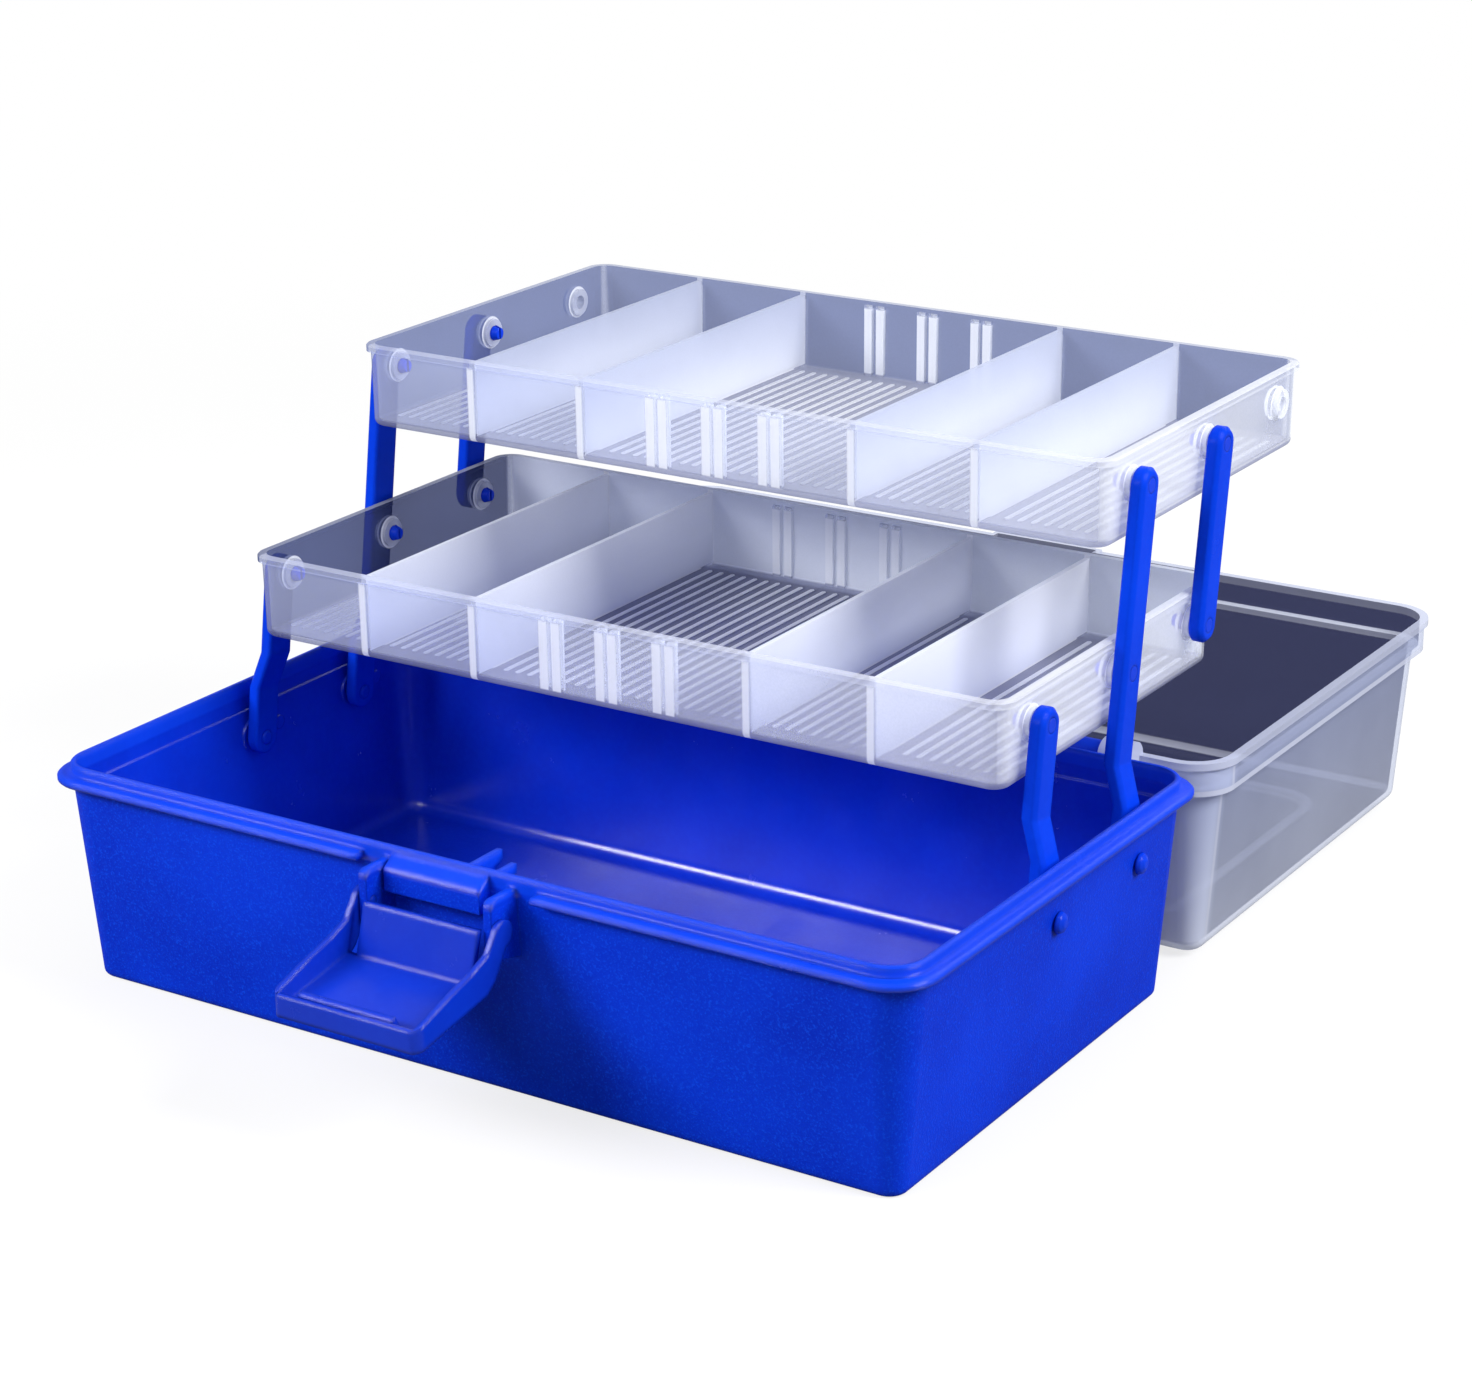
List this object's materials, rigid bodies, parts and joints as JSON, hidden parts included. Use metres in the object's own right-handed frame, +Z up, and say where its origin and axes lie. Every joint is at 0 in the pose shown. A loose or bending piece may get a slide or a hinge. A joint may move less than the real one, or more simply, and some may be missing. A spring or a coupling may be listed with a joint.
{
  "type": "cantilever tackle box",
  "caption": "Open storage box with a hinged clear lid, front latch and linked divided trays that lift up and back on flat arms, for fishing tackle or small parts.",
  "frame": {"origin": "centre of the tub's footprint, on the ground", "axes": "+X along the box's length to the right seen from the latch, -Y towards the latch side, +Z up"},
  "size_m": [0.33, 0.4456, 0.1871],
  "materials": {
    "blue_plastic": "satin, fine grain outside",
    "clear_plastic": "clear, slightly grey",
    "frosted_plastic": "milky see-through",
    "natural_plastic": "milky see-through"
  },
  "bodies": {
    "tub": {"base_tub": "blue_plastic"},
    "lid": {"lid": "clear_plastic", "lid_hinge_pin_right": "natural_plastic", "lid_hinge_pin_left": "natural_plastic"},
    "handle": {"carry_handle": "blue_plastic"},
    "latch": {"latch": "blue_plastic"},
    "lower_tray": {"lower_tray": "frosted_plastic"},
    "upper_tray": {"upper_tray": "frosted_plastic"},
    "right_front_arm": {"right_front_arm": "blue_plastic", "right_front_arm_base_pin": "blue_plastic", "right_front_arm_tray_pin": "blue_plastic"},
    "right_long_arm": {"right_long_arm": "blue_plastic", "right_long_arm_base_pin": "blue_plastic", "right_long_arm_middle_pin": "blue_plastic", "right_long_arm_top_pin": "blue_plastic"},
    "right_upper_arm": {"right_upper_arm": "blue_plastic", "right_upper_arm_lower_pin": "blue_plastic", "right_upper_arm_top_pin": "blue_plastic"},
    "left_front_arm": {"left_front_arm": "blue_plastic", "left_front_arm_base_pin": "blue_plastic", "left_front_arm_tray_pin": "blue_plastic"},
    "left_long_arm": {"left_long_arm": "blue_plastic", "left_long_arm_base_pin": "blue_plastic", "left_long_arm_middle_pin": "blue_plastic", "left_long_arm_top_pin": "blue_plastic"},
    "left_upper_arm": {"left_upper_arm": "blue_plastic", "left_upper_arm_lower_pin": "blue_plastic", "left_upper_arm_top_pin": "blue_plastic"}
  },
  "joints": [
    {"name": "lid_swing", "type": "hinge", "parent": "tub", "child": "lid", "pos_m": [0, 0.0999, 0.07365], "axis": [1, 0, 0], "range_deg": [0, 180]},
    {"name": "latch_swing", "type": "hinge", "parent": "tub", "child": "latch", "pos_m": [0, -0.1025, 0.062], "axis": [-1, 0, 0], "range_deg": [0, 118]},
    {"name": "handle_swing", "type": "hinge", "parent": "lid", "child": "handle", "pos_m": [0, 0.1811, 0.0055], "axis": [-1, 0, 0], "range_deg": [0, 90]},
    {"name": "right_front_arm_swing", "type": "hinge", "parent": "tub", "child": "right_front_arm", "pos_m": [0.151, 0.002, 0.0572], "axis": [1, 0, 0], "range_deg": [0, 68.7]},
    {"name": "right_long_arm_swing", "type": "hinge", "parent": "tub", "child": "right_long_arm", "pos_m": [0.151, 0.057, 0.0572], "axis": [1, 0, 0], "range_deg": [0, 68.7]},
    {"name": "left_front_arm_swing", "type": "hinge", "parent": "tub", "child": "left_front_arm", "pos_m": [-0.151, 0.002, 0.0572], "axis": [1, 0, 0], "range_deg": [0, 68.7]},
    {"name": "left_long_arm_swing", "type": "hinge", "parent": "tub", "child": "left_long_arm", "pos_m": [-0.151, 0.057, 0.0572], "axis": [1, 0, 0], "range_deg": [0, 68.7]},
    {"name": "lower_tray_swing", "type": "hinge", "parent": "right_long_arm", "child": "lower_tray", "pos_m": [0.145, 0.06587, 0.11654], "axis": [1, 0, 0], "range_deg": [-68.7, 0]},
    {"name": "upper_tray_swing", "type": "hinge", "parent": "right_long_arm", "child": "upper_tray", "pos_m": [0.145, 0.07474, 0.17588], "axis": [1, 0, 0], "range_deg": [-68.7, 0]},
    {"name": "right_upper_arm_swing", "type": "hinge", "parent": "lower_tray", "child": "right_upper_arm", "pos_m": [0.145, 0.12087, 0.11654], "axis": [1, 0, 0], "range_deg": [0, 68.7]},
    {"name": "left_upper_arm_swing", "type": "hinge", "parent": "lower_tray", "child": "left_upper_arm", "pos_m": [-0.145, 0.12087, 0.11654], "axis": [1, 0, 0], "range_deg": [0, 68.7]}
  ],
  "couplings": [
    {"joint": "right_front_arm_swing", "follows": "lid_swing", "ratio": 0.38111},
    {"joint": "right_long_arm_swing", "follows": "lid_swing", "ratio": 0.38111},
    {"joint": "left_front_arm_swing", "follows": "lid_swing", "ratio": 0.38111},
    {"joint": "left_long_arm_swing", "follows": "lid_swing", "ratio": 0.38111},
    {"joint": "lower_tray_swing", "follows": "lid_swing", "ratio": -0.38111},
    {"joint": "upper_tray_swing", "follows": "lid_swing", "ratio": -0.38111},
    {"joint": "right_upper_arm_swing", "follows": "lid_swing", "ratio": 0.38111},
    {"joint": "left_upper_arm_swing", "follows": "lid_swing", "ratio": 0.38111}
  ]
}
